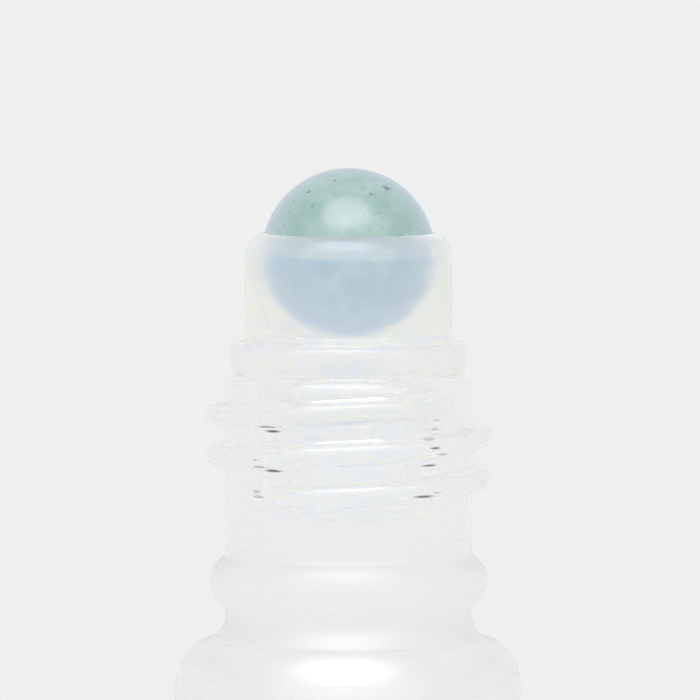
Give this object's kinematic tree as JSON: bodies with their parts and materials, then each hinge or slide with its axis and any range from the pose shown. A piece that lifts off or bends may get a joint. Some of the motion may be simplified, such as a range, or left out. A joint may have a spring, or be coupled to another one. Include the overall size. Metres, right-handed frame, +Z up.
{
  "type": "roll-on bottle",
  "caption": "Clear glass roll-on bottle for cosmetic serum, with a moulded roller housing pressed into its neck and a polished stone ball that rolls in the housing.",
  "frame": {"origin": "centre of the base, on the plane that the bottle stands on", "axes": "+Z up along the bottle's axis, -Y towards the picture's camera, +X to the right in it"},
  "size_m": [0.02, 0.02, 0.0817],
  "materials": {
    "clear_glass": "gloss",
    "natural_plastic": "satin",
    "green_stone": "polished",
    "clear_serum": "gloss"
  },
  "bodies": {
    "bottle": {"glass_bottle": "clear_glass", "roller_housing": "natural_plastic", "serum_fill": "clear_serum"},
    "ball": {"roller_ball": "green_stone"}
  },
  "joints": [
    {"name": "ball_roll", "type": "hinge", "parent": "bottle", "child": "ball", "pos_m": [0, 0, 0.07675], "axis": [1, 0, 0], "continuous": true}
  ]
}
